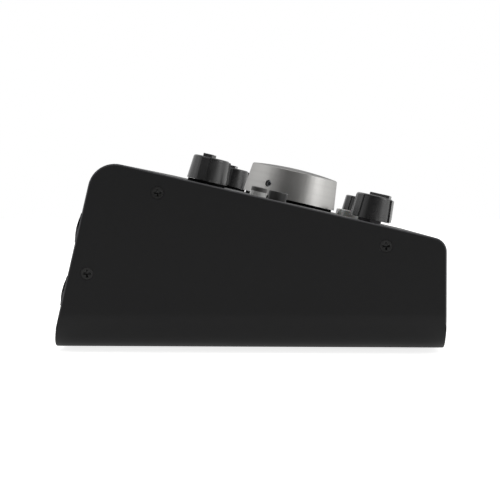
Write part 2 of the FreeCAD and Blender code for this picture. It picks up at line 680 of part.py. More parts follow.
def knob_pointer():
    """Raised pointer that widens from its tail to its nose, with rounded ends."""
    low, tail, nose = KNOB_TOP - POINTER_FOOT, -POINTER_TAIL, KNOB_TOP_RADIUS - POINTER_NOSE
    narrow, wide = (width / 2 for width in POINTER_WIDTHS)
    side = [(tail, low), (nose, low), (nose, POINTER_TOP), (tail, POINTER_TOP)]
    wire = rounded_wire([Vector(x, -wide, h) for x, h in side], [0, 0, POINTER_EDGE, POINTER_EDGE])
    plan = [(tail, -narrow), (nose, -wide), (nose, wide), (tail, narrow)]
    outline = rounded_wire([Vector(x, y, low) for x, y in plan], [POINTER_EDGE] * len(plan))
    ridge = Part.Face(outline).extrude(Z * (POINTER_TOP - low))
    return ridge.common(Part.Face(wire).extrude(Y * 2 * wide))


def make_knob(name):
    bore = SHAFT_RADIUS + BORE_PLAY
    bore_top, hollow_top = KNOB_SHAFT_TOP + SHAFT_TIP_GAP, SMALL_POT["top"] + RECESS_CLEAR
    profile = [
        (0, bore_top),
        (bore, bore_top),
        (bore, hollow_top),
        (KNOB_RECESS_RADIUS, hollow_top),
        (KNOB_RECESS_RADIUS, KNOB_GAP),
        (KNOB_SKIRT_RADIUS, KNOB_GAP),
        (KNOB_TOP_RADIUS, KNOB_TOP),
        (0, KNOB_TOP),
    ]
    knob = turned(profile, [0, 0, 0, 0, 0, 0, KNOB_EDGE, 0])
    ribs = [at(knob_rib(), 0, 0, k * 360 / RIB_COUNT) for k in range(RIB_COUNT)]
    knob = knob.fuse(ribs + [knob_pointer()]).removeSplitter()
    return placed(at(knob, *knob_places()[name], knob_turn(name)), PANEL)


# ---------------------------------------------------------------- push buttons
def button_places():
    """Name of each panel button: across, along and its sizes."""
    names = ("monitor_select_button", "mono_button", "dim_button", "talkback_button")
    places = {}
    for k, name in enumerate(names):
        x = (k - (len(names) - 1) / 2) * MODE_BUTTON_PITCH
        places[name] = (x, MODE_BUTTON["along"], MODE_BUTTON)
    for side, sign in (("left", -1), ("right", 1)):
        for name, sizes in (("mute_button_", MUTE_BUTTON), ("cue_button_", CUE_BUTTON)):
            places[name + side] = (sign * (WIDTH / 2 - sizes["inset"]), sizes["along"], sizes)
    return places


def switch_top():
    return BOARD_TOP + SWITCH_HEIGHT


def button_solid(sizes, stem_foot):
    """Cap with a rounded edge, flange under the sheet and the stem that works the switch."""
    radius, top = sizes["radius"], sizes["top"]
    flange_top = -SHEET - BUTTON_FLANGE_GAP
    flange_low = flange_top - BUTTON_FLANGE_HEIGHT
    flange = radius + BUTTON_FLANGE
    profile = [
        (0, stem_foot),
        (STEM_RADIUS, stem_foot),
        (STEM_RADIUS, flange_low),
        (flange, flange_low),
        (flange, flange_top),
        (radius, flange_top),
        (radius, top),
        (0, top),
    ]
    return turned(profile, [0, 0, 0, 0, 0, 0, sizes["edge"], 0])


def panel_button(name, above=None, below=None):
    """A button, or only its part above or below a height."""
    x, along, sizes = button_places()[name]
    solid = button_solid(sizes, switch_top() - STEM_IN_SWITCH)
    if above is not None:
        waist = rod(0, 0, above, sizes["top"], sizes["radius"] - CUE_CAP_STEP)
        solid = solid.common(waist)
    if below is not None:
        solid = solid.common(rod(0, 0, BOARD_TOP, below, 2 * sizes["radius"]))
    return placed(at(solid, x, along), PANEL)


def switch_body():
    body = box(0, 0, BOARD_TOP, switch_top(), 2 * SWITCH_HALF, 2 * SWITCH_HALF)
    return body.cut(rod(0, 0, switch_top() - SWITCH_WELL, switch_top(), STEM_RADIUS + STEM_PLAY))


def make_button_switches():
    return [placed(at(switch_body(), x, y), PANEL) for x, y, _ in button_places().values()]


def make_button_lamps():
    sx, sy, height = LED_SIZE
    lamp = box(0, LED_OFFSET, BOARD_TOP, BOARD_TOP + height, sx, sy)
    return [placed(at(lamp, x, y), PANEL) for x, y, _ in button_places().values()]


def mic_place():
    x, along, _ = button_places()["talkback_button"]
    return (x, along - MIC_AHEAD)


def make_talkback_mic():
    radius, height = MIC
    return placed(rod(*mic_place(), BOARD_TOP, BOARD_TOP + height, radius), PANEL)


# ---------------------------------------------------------------- connectors
def rear_jack_places():
    """Jack axes on the rear face, in its local frame."""
    first = WIDTH / 2 - REAR_JACK_INSET
    columns = [first - k * REAR_JACK_PITCH for k in range(REAR_JACK_COLUMNS)]
    return [(x, -row) for row in (UPPER_ROW, LOWER_ROW) for x in columns]


def phones_jack_places():
    return [(-PHONES_JACK_X, PHONES_JACK_HEIGHT), (PHONES_JACK_X, PHONES_JACK_HEIGHT)]


def jack_solid():
    sx, sy, _ = JACK_BODY
    body = box(0, 0, JACK_END, -SHEET, sx, sy).fuse(rod(0, 0, -SHEET, JACK_PROUD, JACK_BUSHING))
    return body.cut(rod(0, 0, JACK_END + JACK_BLIND, JACK_PROUD, PLUG_HOLE))


def jack_nut():
    wall, height = JACK_NUT
    return hex_bar(0, 0, 0, height, JACK_BUSHING + wall).cut(rod(0, 0, 0, height, JACK_BUSHING))


def set_on(where, shape, places):
    return [placed(at(shape, x, y), where) for x, y in places]


def make_usb_socket():
    sx, sy = USB_SHELL
    low = -LOWER_ROW
    half_x, half_y = sx / 2, sy / 2
    points = [(-half_x, -half_y), (half_x, -half_y), (half_x, half_y - USB_CHAMFER), (half_x - USB_CHAMFER, half_y)]
    points += [(-x, y) for x, y in reversed(points[2:])]
    outline = [Vector(x - USB_X, y + low, JACK_END) for x, y in points]
    body = Part.Face(Part.makePolygon(outline + outline[:1])).extrude(Z * (SOCKET_PROUD - JACK_END))
    mouth = box(-USB_X, low, SOCKET_PROUD - USB_DEPTH, SOCKET_PROUD, *USB_MOUTH)
    return placed(body.cut(mouth), REAR)


def make_usb_tongue():
    low, high = SOCKET_PROUD - USB_DEPTH, SOCKET_PROUD - USB_TONGUE_BACK
    return placed(box(-USB_X, -LOWER_ROW, low, high, *USB_TONGUE), REAR)


def make_power_inlet():
    side = 2 * INLET_HALF
    body = box(-INLET_X, -LOWER_ROW, JACK_END, SOCKET_PROUD, side, side)
    hole = rod(-INLET_X, -LOWER_ROW, SOCKET_PROUD - INLET_DEPTH, SOCKET_PROUD, INLET_RADIUS)
    return placed(body.cut(hole), REAR)


def make_power_inlet_pin():
    low, high = SOCKET_PROUD - INLET_DEPTH, SOCKET_PROUD - INLET_PIN_BACK
    return placed(rod(-INLET_X, -LOWER_ROW, low, high, INLET_PIN), REAR)


def make_power_button():
    solid = button_solid(POWER_BUTTON, -POWER_SWITCH_FRONT - STEM_IN_SWITCH)
    return placed(at(solid, -POWER_X, -LOWER_ROW), REAR)


def make_power_switch():
    side = 2 * POWER_SWITCH_HALF
    body = box(0, 0, JACK_END, -POWER_SWITCH_FRONT, side, side)
    well = rod(0, 0, -POWER_SWITCH_FRONT - POWER_WELL, -POWER_SWITCH_FRONT, STEM_RADIUS + STEM_PLAY)
    return placed(at(body.cut(well), -POWER_X, -LOWER_ROW), REAR)


# ---------------------------------------------------------------- assembly
def make_nodes():
    """Every node of the assembly: its name and its solids."""
    nodes = {
        "base_shell": make_base_shell(),
        "wrap_cover": make_wrap_cover(),
        "rear_panel": make_rear_panel(),
        "side_screws": make_side_screws(),
        "clinch_nuts": make_clinch_nuts(),
        "rubber_feet": make_feet(),
        "main_board": make_main_board(),
        "board_spacers": make_board_spacers(),
        "board_screws": make_board_screws(),
        "op_amp_chips": under_board(CHIP, CHIP_AT),
        "relays": under_board(RELAY, RELAY_AT),
        "capacitors": make_capacitors(),
        "main_pot": placed(at(pot_body(MAIN_POT), *DIAL_AT), PANEL),
        "main_pot_washer": placed(at(pot_washer(MAIN_POT), *DIAL_AT), PANEL),
        "main_pot_nut": placed(at(pot_nut(MAIN_POT), *DIAL_AT), PANEL),
        "dial_seat_ring": make_dial_seat_ring(),
        "knob_seat_rings": make_knob_seat_rings(),
        "level_pots": on_knobs(pot_body(SMALL_POT)),
        "level_pot_washers": on_knobs(pot_washer(SMALL_POT)),
        "level_pot_nuts": on_knobs(pot_nut(SMALL_POT)),
        "button_switches": make_button_switches(),
        "button_lamps": make_button_lamps(),
        "talkback_mic": make_talkback_mic(),
        "rear_board": make_rear_board(),
        "rear_jacks": set_on(REAR, jack_solid(), rear_jack_places()),
        "rear_jack_nuts": set_on(REAR, jack_nut(), rear_jack_places()),
        "phones_board": make_phones_board(),
        "phones_jacks": set_on(FRONT, jack_solid(), phones_jack_places()),
        "phones_jack_nuts": set_on(FRONT, jack_nut(), phones_jack_places()),
        "usb_socket": make_usb_socket(),
        "usb_tongue": make_usb_tongue(),
        "power_inlet": make_power_inlet(),
        "power_inlet_pin": make_power_inlet_pin(),
        "power_switch": make_power_switch(),
        "power_button": make_power_button(),
        "ribbon_headers": make_ribbon_headers(),
        "rear_ribbon": make_rear_ribbon(),
        "phones_ribbon": make_phones_ribbon(),
        "main_dial": make_dial(),
        "dial_set_screw": make_dial_set_screw(),
        "main_pot_shaft": placed(at(shaft(DIAL_SHAFT_TOP), *DIAL_AT), PANEL),
    }
    for name, place in knob_places().items():
        nodes["knob_" + name] = make_knob(name)
        nodes["shaft_" + name] = placed(at(shaft(KNOB_SHAFT_TOP), *place), PANEL)
    for name in button_places():
        if name.startswith("cue"):
            nodes[name + "_cap"] = panel_button(name, above=CUE_CAP_FOOT)
            nodes[name + "_collar"] = panel_button(name, below=CUE_CAP_FOOT)
        else:
            nodes[name] = panel_button(name)
    return nodes


def main():
    os.makedirs("parts", exist_ok=True)
    for name, made in make_nodes().items():
        solids = [s for shape in (made if isinstance(made, list) else [made]) for s in shape.Solids]
        shape = solids[0] if len(solids) == 1 else Part.makeCompound(solids)
        shape.exportStep("parts/" + name + ".step")
        print(name, len(solids), "valid" if shape.isValid() else "NOT VALID", round(shape.Volume, 1))


main()
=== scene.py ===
import json
import math

import bmesh
import bpy
from mathutils import Matrix, Vector, kdtree

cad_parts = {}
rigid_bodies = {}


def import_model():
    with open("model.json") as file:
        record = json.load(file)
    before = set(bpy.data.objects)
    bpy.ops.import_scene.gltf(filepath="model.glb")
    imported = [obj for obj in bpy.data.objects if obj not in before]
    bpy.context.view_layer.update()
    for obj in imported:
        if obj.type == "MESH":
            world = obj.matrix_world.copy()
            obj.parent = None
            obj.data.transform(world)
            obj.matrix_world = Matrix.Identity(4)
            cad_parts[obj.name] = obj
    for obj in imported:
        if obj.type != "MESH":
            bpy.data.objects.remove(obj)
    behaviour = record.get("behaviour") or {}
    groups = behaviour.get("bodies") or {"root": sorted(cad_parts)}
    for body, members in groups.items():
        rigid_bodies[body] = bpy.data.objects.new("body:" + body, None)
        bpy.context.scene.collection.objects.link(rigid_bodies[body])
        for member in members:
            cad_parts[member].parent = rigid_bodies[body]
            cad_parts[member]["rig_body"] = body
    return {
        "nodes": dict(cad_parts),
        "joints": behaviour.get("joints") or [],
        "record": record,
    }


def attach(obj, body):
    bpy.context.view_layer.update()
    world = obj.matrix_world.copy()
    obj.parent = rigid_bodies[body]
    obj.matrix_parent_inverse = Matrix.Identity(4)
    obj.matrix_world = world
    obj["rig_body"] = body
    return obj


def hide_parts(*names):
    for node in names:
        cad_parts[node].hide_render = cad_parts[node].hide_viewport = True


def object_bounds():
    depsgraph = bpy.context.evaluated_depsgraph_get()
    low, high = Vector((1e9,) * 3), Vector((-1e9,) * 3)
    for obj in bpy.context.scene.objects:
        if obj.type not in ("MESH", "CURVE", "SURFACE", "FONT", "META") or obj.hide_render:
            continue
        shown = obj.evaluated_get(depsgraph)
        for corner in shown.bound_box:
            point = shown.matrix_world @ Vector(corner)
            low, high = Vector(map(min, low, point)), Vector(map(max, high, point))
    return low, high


bl_info = {
    "name": "Studio monitor controller",
    "version": (1, 0, 0),
    "blender": (4, 5, 0),
    "location": "View3D > Sidebar > Controller",
    "description": "Finishes, printed scales and stage of a desktop monitor controller",
    "category": "Object",
}

MM = 0.001
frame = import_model()
CAD_BOX = [list(corner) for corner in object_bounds()]
JOINTS = {joint["name"]: joint for joint in frame["joints"]}
PORTS = {mount["name"]: mount for mount in frame["record"]["mounts"]}

# ---------------------------------------------------------------- the faces' own frames
ACROSS = Vector((1, 0, 0))
DIAL_CENTRE = Vector(JOINTS["dial_turn"]["pos_m"])
PANEL_OUT = -Vector(JOINTS["dial_turn"]["axis"]).normalized()
PANEL_TILT = math.atan2(-PANEL_OUT.y, PANEL_OUT.z)
REAR_OUT = -Vector(JOINTS["power_button_press"]["axis"]).normalized()
FRONT_OUT = Vector((0, -1, 0))

# ---------------------------------------------------------------- the parts' own measures
KNOBS = ("front_left", "front_right", "rear_left", "rear_right")
MODE_BUTTONS = ("monitor_select_button", "mono_button", "dim_button", "talkback_button")
# Heights are over the panel, and lengths on the dial and knobs run outward from their axis.
# Above these heights the dial's crown is painted darker, a painted dark reflection.
SHADED_CROWN_START, SHADED_CROWN_FULL = 15.6 * MM, 15.9 * MM
GROOVE_NEAR, GROOVE_FAR, GROOVE_WIDTH = 13.52 * MM, 19.48 * MM, 0.96 * MM
ENAMEL_BASE, ENAMEL_DEPTH = 15.7 * MM, 0.15 * MM
POINTER_NEAR, POINTER_FAR, POINTER_WIDTH = 0.8 * MM, 6.0 * MM, 0.7 * MM
POINTER_TOP, POINTER_INK = 13.05 * MM, 0.02 * MM
# Felt rings that rise into the gaps under the dial and the rear knobs: a dark filler that stands in for
# the shade in those gaps.
DIAL_GAP_FILLER = (20.5 * MM, 22.0 * MM)
KNOB_GAP_FILLER = (7.3 * MM, 8.3 * MM)
GAP_FILLER_BASE, GAP_FILLER_TOP = 1.0 * MM, 1.25 * MM
# Places across and up where the base shell's long rim faces are split, clear of its bends.
RIM_SPLITS = (-80 * MM, 0.0, 80 * MM)
BEND_TOP = 20 * MM

# ---------------------------------------------------------------- how meshes are made
WELD, INK_WELD = 0.001 * MM, 0.0005 * MM
FLAT_ANGLE, SHARP_ANGLE = math.radians(0.4), math.radians(35)
# How near an edge has to be to another node's corner to lie against it.
BESIDE = 1.0 * MM
# Share of the bevel's width on edges where a thin sheet has room for no more.
NARROWED = 0.33
# A weighted normal's highest weight, at which large faces stay flat beside rounded edges.
LARGE_FACES_LEAD = 100
RING_STEPS = 96
LETTER_STEPS = 3

# ---------------------------------------------------------------- the scales
DIAL_TICKS, KNOB_TICKS = 30, 10
LONG_EVERY = 5
DIAL_LONGER, KNOB_LONGER = 1.2 * MM, 0.6 * MM
NUMBERED = (0, 5, 10)
# A number's centre lies this share of its height beyond the long ticks.
NUMBER_GAP = 0.75
# Share of the font's size that a digit is high.
DIGIT_SHARE = 0.7
# Height of a jack's number over the jack's centre, clear of the nut.
NUMBER_RISE = 10.5 * MM
# The rear rows and the number of each one's first jack.
JACK_ROWS = (("upper", 1), ("lower", 5))
JACKS_IN_ROW = 4

# ---------------------------------------------------------------- the finishes
# A noise stays mostly between these values.
NOISE_RANGE = {"From Min": 0.3, "From Max": 0.7}
# How many times paler than the coat the side walls' edge breaks are painted: a painted highlight along
# the edges, where the coat also runs thin.
EDGE_HIGHLIGHT_LIFT = 6.0
# How much rougher a plating's dullest mottles are than its brightest.
PLATING_DRIFT = 0.14
RIBBON_PITCH = 1.27 * MM

# ---------------------------------------------------------------- the stage
WHITE = 1.0
# The floor's own light to the lens: with the lamps' light on it the floor comes out white.
FLOOR_SEEN = 0.82
FLOOR_REACH = 4.0
# The room's pale light falls off towards this direction, behind the lens and a little up.
SHADE_WAY = (-1, 0.015, 0.55)
SHADE_START, SHADE_END = 0.15, 0.9
# Each softbox's place and size in metres, and the point that they all face.
KEY_BOX = ((-0.45, -1.15, 0.5), (0.55, 0.9))
FILL_BOX = ((-0.65, 1.0, 0.5), (1.2, 0.8))
TOP_BOX = ((-0.1, 0.0, 1.2), (1.2, 1.0))
LIT_POINT = (0, 0, 0.04)


def sweep(joint):
    """Angle from a knob's lower stop to its upper one."""
    low, high = JOINTS[joint]["range_deg"]
    return math.radians(high - low)


def pointing(joint):
    """Direction that a knob points to at rest: its stops are even about the face's upward one."""
    low, high = JOINTS[joint]["range_deg"]
    return math.radians(90 + (low + high) / 2)


def facing(centre, across, out):
    """Local X across a face, Y up it and Z out of it, with the origin at centre."""
    axes = Matrix((across, out.cross(across), out)).transposed()
    return Matrix.Translation(centre) @ axes.to_4x4()


def linear(code):
    """An sRGB hex colour as linear values with full alpha, by the sRGB standard's curve."""
    parts = [int(code[k : k + 2], 16) / 255 for k in (1, 3, 5)]
    return (*[c / 12.92 if c <= 0.04045 else ((c + 0.055) / 1.055) ** 2.4 for c in parts], 1.0)


# ---------------------------------------------------------------- settings
def colour(name, code, description):
    """A colour setting with an sRGB hex default."""
    return bpy.props.FloatVectorProperty(
        name=name, description=description, subtype="COLOR", size=4, min=0, max=1, default=linear(code)
    )


def length(name, value, description):
    """A length setting with a default in metres."""
    return bpy.props.FloatProperty(
        name=name, description=description, default=value, min=0, unit="LENGTH", precision=5
    )


def level(name, value, description):
    """A setting for the power or strength of a light."""
    return bpy.props.FloatProperty(name=name, description=description, default=value, min=0)


class FinishSettings(bpy.types.PropertyGroup):
    """Colours of the finishes"""

    coat: colour("Powder coat", "#19191a", "Satin black coat of the steel case")
    screw: colour("Screws", "#232323", "Black oxide on the side screws")
    dial: colour("Dial", "#b8b7b5", "Turned aluminium of the large dial")
    knob: colour("Knobs", "#1c1c1d", "Soft-touch moulding of the small knobs")
    lens: colour("Mode buttons", "#8a8a87", "Milky polycarbonate of the front row")
    button: colour("Dark buttons", "#2c2c2c", "Moulded ABS of the small buttons")
    collar: colour("Light collars", "#f8f8f6", "Clear collar under the dark caps")
    print_ink: colour("Print", "#bdbdbd", "Ink of the scales and numbers")


class EdgeSettings(bpy.types.PropertyGroup):
    """Widths of the edge breaks"""

    wall: length("Wall edge", 0.7 * MM, "Break on the side walls' edges under their coat")
    sheet: length("Sheet edge", 0.3 * MM, "Break on the cover's edges under its coat")
    screw: length("Screw edge", 0.3 * MM, "Rolled edge of the side screws' heads")
    dial: length("Dial edge", 0.16 * MM, "Machined break on the dial's edges")
    moulded: length("Moulded edge", 0.25 * MM, "Radius on the small knobs' edges")


class PrintSettings(bpy.types.PropertyGroup):
    """Sizes of the printed marks"""

    thickness: length("Ink", 0.02 * MM, "Height of the printed ink over the coat")
    tick: length("Tick width", 0.45 * MM, "Width of a scale's tick")
    knob_inner: length("Knob scale", 10.6 * MM, "Inner radius of a small knob's ticks")
    knob_outer: length("Knob scale end", 12.2 * MM, "Outer radius of a small knob's ticks")
    dial_inner: length("Dial scale", 24.8 * MM, "Inner radius of the dial's ticks")
    dial_outer: length("Dial scale end", 26.6 * MM, "Outer radius of the dial's ticks")
    numeral: length("Numeral", 2.6 * MM, "Height of the printed numbers")


class StageSettings(bpy.types.PropertyGroup):
    """Floor, lens and lights"""

    floor: colour("Floor", "#f4f4f2", "Pale floor and backdrop")
    distance: length("Camera distance", 500 * MM, "From the lens to the left side wall")
    height: length("Camera height", 63.6 * MM, "Lens above the floor")
    sideways: bpy.props.FloatProperty(
        name="Camera place", description="Lens along the depth", default=-25.33 * MM, unit="LENGTH"
    )
    aim: bpy.props.FloatVectorProperty(
        name="Aim", description="Point of the left side wall that the lens looks at, along and up",
        size=2, default=(-6.2 * MM, 56.7 * MM), unit="LENGTH",
    )
    lens: bpy.props.FloatProperty(
        name="Lens", description="Focal length in mm on a 36 mm wide sensor", default=85.74, min=1
    )
    shift: bpy.props.FloatVectorProperty(
        name="Shift", description="Sideways and upward lens shift", size=2, default=(-0.03, -0.06)
    )
    key: level("Key light", 3.7, "Power in watts of the softbox before the front")
    fill: level("Fill light", 1.3, "Power in watts of the softbox behind the rear")
    top: level("Top light", 6.0, "Power in watts of the softbox above")
    room: level("Room light", 0.8, "Strength of the room's bright side")
    shade: level("Room shade", 0.11, "Strength of the room's dark side")
    bounce: level("Floor in gloss", 0.5, "Strength of the floor in glossy reflections")


# ---------------------------------------------------------------- node and material helpers
def connect(tree, node, inputs):
    """Sets a node's inputs: each is a value, a node or one of its outputs."""
    for key, value in inputs.items():
        if isinstance(value, bpy.types.Node):
            value = next(out for out in value.outputs if out.enabled)
        if isinstance(value, bpy.types.NodeSocket):
            tree.links.new(value, node.inputs[key])
        else:
            node.inputs[key].default_value = value
    return node


def add(tree, kind, inputs=None, **settings):
    """Adds a shader node with its settings and links."""
    node = tree.nodes.new("ShaderNode" + kind)
    for name, value in settings.items():
        setattr(node, name, value)
    return connect(tree, node, inputs or {})


def begin(name, **shader_values):
    """A new material: its tree, its shader and its Object coordinates in metres."""
    material = bpy.data.materials.new(name)
    material.use_nodes = True
    tree = material.node_tree
    shader = tree.nodes["Principled BSDF"]
    connect(tree, shader, {key.replace("_", " "): value for key, value in shader_values.items()})
    return material, tree, shader, add(tree, "TexCoord").outputs["Object"]


def shade(base, share):
    """A colour made lighter or darker by a share."""
    return (*[min(1.0, c * share) for c in base[:3]], 1.0)


def ready(make):
    """A finish that several groups of parts share, made at its first use."""
    return bpy.data.materials.get(make.__name__) or make()


# ---------------------------------------------------------------- finishes
def powder_coated_steel(base):
    """Satin polyester powder: a fine orange peel, 0.5 mm across, breaks up soft reflections."""
    material, tree, shader, place = begin("powder_coated_steel", Specular_IOR_Level=0.2)
    peel = add(tree, "TexNoise", {"Vector": place, "Scale": 1 / (0.5 * MM), "Detail": 3})
    patches = add(tree, "TexNoise", {"Vector": place, "Scale": 1 / (30 * MM)})
    tones = {"Factor": patches, "A": shade(base, 0.96), "B": shade(base, 1.04)}
    dulling = {"Value": patches, **NOISE_RANGE, "To Min": 0.48, "To Max": 0.52}
    connect(tree, shader, {
        "Base Color": add(tree, "Mix", tones, data_type="RGBA"),
        "Roughness": add(tree, "MapRange", dulling),
        "Normal": add(tree, "Bump", {"Height": peel, "Distance": 0.01 * MM}),
    })
    return material


def thinned_coat(base):
    """The side walls' edge breaks, painted paler than the coat: a painted highlight along them, where
    the coat also draws thin and grey.
    """
    material, tree, shader, place = begin("thinned_coat", Roughness=0.45, Specular_IOR_Level=0.3)
    patches = add(tree, "TexNoise", {"Vector": place, "Scale": 1 / (8 * MM), "Detail": 3})
    tones = {"Factor": patches, "A": shade(base, 0.8), "B": shade(base, 1.15)}
    connect(tree, shader, {"Base Color": add(tree, "Mix", tones, data_type="RGBA")})
    return material


def black_oxide_steel(base):
    """Oil-blacked screw steel: dark metal smeared by oil and the driver, in 0.8 mm streaks."""
    material, tree, shader, place = begin("black_oxide_steel", Metallic=0.6)
    smear = add(tree, "TexNoise", {"Vector": place, "Scale": 1 / (0.8 * MM), "Detail": 4})
    tones = {"Factor": smear, "A": shade(base, 0.75), "B": shade(base, 1.3)}
    dulling = {"Value": smear, **NOISE_RANGE, "To Min": 0.25, "To Max": 0.36}
    connect(tree, shader, {
        "Base Color": add(tree, "Mix", tones, data_type="RGBA"),
        "Roughness": add(tree, "MapRange", dulling),
    })
    return material


def turned_aluminium(base):
    """Clear-anodised turned bar: the tool's lines run round the dial and streak its reflections.
    They are about 0.25 mm apart, several times the real feed, so that they show. The faced crown is
    painted darker than the side: a painted dark reflection of the shade above."""
    material, tree, shader, place = begin(
        "turned_aluminium", Metallic=1.0, Specular_Tint=linear("#d8d8d8")
    )
    to_axis = {"Vector": place, "Location": DIAL_CENTRE, "Rotation": (PANEL_TILT, 0, 0)}
    parts = add(tree, "SeparateXYZ", {"Vector": add(tree, "Mapping", to_axis, vector_type="TEXTURE")})
    flat = add(tree, "CombineXYZ", {"X": parts.outputs["X"], "Y": parts.outputs["Y"]})
    radius = add(tree, "VectorMath", {0: flat}, operation="LENGTH")
    section = add(tree, "CombineXYZ", {"X": radius, "Y": parts.outputs["Z"]})
    feed = {"Vector": section, "Scale": 1 / (0.25 * MM), "Detail": 3, "Roughness": 0.7}
    lines = add(tree, "TexNoise", feed)
    bands = add(tree, "TexNoise", {"Vector": section, "Scale": 1 / (1.6 * MM), "Detail": 2})
    # The crown is painted darker than the side, a painted dark reflection of the shade above.
    crown = {"Value": parts.outputs["Z"], "From Min": SHADED_CROWN_START, "From Max": SHADED_CROWN_FULL}
    side_tones = {"Factor": lines, "A": shade(base, 0.86), "B": shade(base, 1.12)}
    crown_shade_tones = {"Factor": lines, "A": shade(base, 0.32), "B": shade(base, 0.5)}
    tones = {
        "Factor": add(tree, "MapRange", crown),
        "A": add(tree, "Mix", side_tones, data_type="RGBA"),
        "B": add(tree, "Mix", crown_shade_tones, data_type="RGBA"),
    }
    dulling = {"Value": bands, **NOISE_RANGE, "To Min": 0.38, "To Max": 0.44}
    connect(tree, shader, {
        "Base Color": add(tree, "Mix", tones, data_type="RGBA"),
        "Roughness": add(tree, "MapRange", dulling),
        "Normal": add(tree, "Bump", {"Height": lines, "Distance": 0.004 * MM}),
    })
    return material


def soft_touch_rubber(base):
    """Satin elastomer over a moulded core: soft highlights along the ribs and a pale bloom at
    glancing angles. Its grain is drawn 0.3 mm across, coarser than the real one, so it shows."""
    material, tree, shader, place = begin(
        "soft_touch_rubber", IOR=1.62, Sheen_Weight=0.08, Sheen_Roughness=0.45
    )
    grain = add(tree, "TexNoise", {"Vector": place, "Scale": 1 / (0.3 * MM), "Detail": 4})
    handling = add(tree, "TexNoise", {"Vector": place, "Scale": 1 / (5 * MM), "Detail": 2})
    tones = {"Factor": grain, "A": shade(base, 0.88), "B": shade(base, 1.14)}
    dulling = {"Value": handling, **NOISE_RANGE, "To Min": 0.22, "To Max": 0.29}
    connect(tree, shader, {
        "Base Color": add(tree, "Mix", tones, data_type="RGBA"),
        "Roughness": add(tree, "MapRange", dulling),
        "Normal": add(tree, "Bump", {"Height": grain, "Distance": 0.004 * MM}),
    })
    return material


def milky_polycarbonate(base):
    """Light-scattering lens: clouded inside, with a satin moulded face. The face's texture is
    drawn 0.3 mm across, about three times the real one, so that it shows."""
    material, tree, shader, place = begin(
        "milky_polycarbonate", Roughness=0.3, IOR=1.58, Subsurface_Weight=0.3,
        Subsurface_Scale=1.2 * MM, Coat_Weight=1.0, Coat_Roughness=0.15,
    )
    cloud = add(tree, "TexNoise", {"Vector": place, "Scale": 1 / (1.6 * MM)})
    skin = add(tree, "TexNoise", {"Vector": place, "Scale": 1 / (0.3 * MM)})
    tones = {"Factor": cloud, "A": shade(base, 0.92), "B": shade(base, 1.08)}
    connect(tree, shader, {
        "Base Color": add(tree, "Mix", tones, data_type="RGBA"),
        "Normal": add(tree, "Bump", {"Height": skin, "Distance": 0.004 * MM}),
    })
    return material


def moulded(name, base, ior, grain_size=0.18 * MM):
    """Plastic out of a spark-eroded mould: an even fine texture on a satin face, drawn about
    twice as coarse as the real one, so that it shows."""
    material, tree, shader, place = begin(name, IOR=ior)
    texture = add(tree, "TexNoise", {"Vector": place, "Scale": 1 / grain_size, "Detail": 3})
    tones = {"Factor": texture, "A": shade(base, 0.88), "B": shade(base, 1.14)}
    dulling = {"Value": texture, **NOISE_RANGE, "To Min": 0.4, "To Max": 0.54}
    connect(tree, shader, {
        "Base Color": add(tree, "Mix", tones, data_type="RGBA"),
        "Roughness": add(tree, "MapRange", dulling),
        "Normal": add(tree, "Bump", {"Height": texture, "Distance": 0.008 * MM}),
    })
    return material


def moulded_abs():
    """Satin black ABS of the small caps, headers and switches."""
    return moulded("moulded_abs", bpy.context.scene.controller_finish.button, 1.54)


def smoked_polycarbonate():
    """Smoky grey cap over the cue lamp, with the same satin as the black caps."""
    return moulded("smoked_polycarbonate", linear("#555453"), 1.58)


def glass_filled_nylon():
    """Jack bodies: the glass fibres leave a coarser skin than plain plastic has."""
    return moulded("glass_filled_nylon", linear("#141415"), 1.53, 0.35 * MM)


def moulded_epoxy():
    """Chip packages and relays: a fine sandy grey-black."""
    return moulded("moulded_epoxy", linear("#1b1b1d"), 1.55)


def white_nylon():
    """Off-white tongue of the square socket, with the mould's even satin."""
    return moulded("white_nylon", linear("#d8d8d4"), 1.53)


def pressed_felt():
    """Black wool felt under the dial and knobs: tangled fibres that swallow light. They are
    drawn 0.12 mm thick, several times the real ones, so that they show."""
    base = linear("#0b0b0c")
    material, tree, shader, place = begin("pressed_felt", Roughness=0.95, Specular_IOR_Level=0.1)
    tangle = {"Vector": place, "Scale": 1 / (0.12 * MM), "Detail": 5, "Distortion": 2.0}
    fibres = add(tree, "TexNoise", tangle)
    tones = {"Factor": fibres, "A": shade(base, 0.6), "B": shade(base, 1.6)}
    connect(tree, shader, {
        "Base Color": add(tree, "Mix", tones, data_type="RGBA"),
        "Normal": add(tree, "Bump", {"Height": fibres, "Distance": 0.05 * MM}),
    })
    return material


def clear_polycarbonate():
    """Collar that carries the lamp's light: glossy, part clear, hazed inside."""
    base = bpy.context.scene.controller_finish.collar
    material, tree, shader, place = begin(
        "clear_polycarbonate", Roughness=0.2, IOR=1.58, Transmission_Weight=0.3
    )
    haze = add(tree, "TexNoise", {"Vector": place, "Scale": 1 / (0.9 * MM)})
    tones = {"Factor": haze, "A": shade(base, 0.88), "B": base}
    connect(tree, shader, {"Base Color": add(tree, "Mix", tones, data_type="RGBA")})
    return material


def plated(name, base, size, dullest):
    """Plated metal: the plating's tone and gloss drift in soft mottles of one size."""
    material, tree, shader, place = begin(name, Metallic=1.0)
    mottle = add(tree, "TexNoise", {"Vector": place, "Scale": 1 / size, "Detail": 4})
    tones = {"Factor": mottle, "A": shade(base, 0.88), "B": shade(base, 1.06)}
    brightest = dullest - PLATING_DRIFT
    dulling = {"Value": mottle, **NOISE_RANGE, "To Min": brightest, "To Max": dullest}
    connect(tree, shader, {
        "Base Color": add(tree, "Mix", tones, data_type="RGBA"),
        "Roughness": add(tree, "MapRange", dulling),
    })
    return material


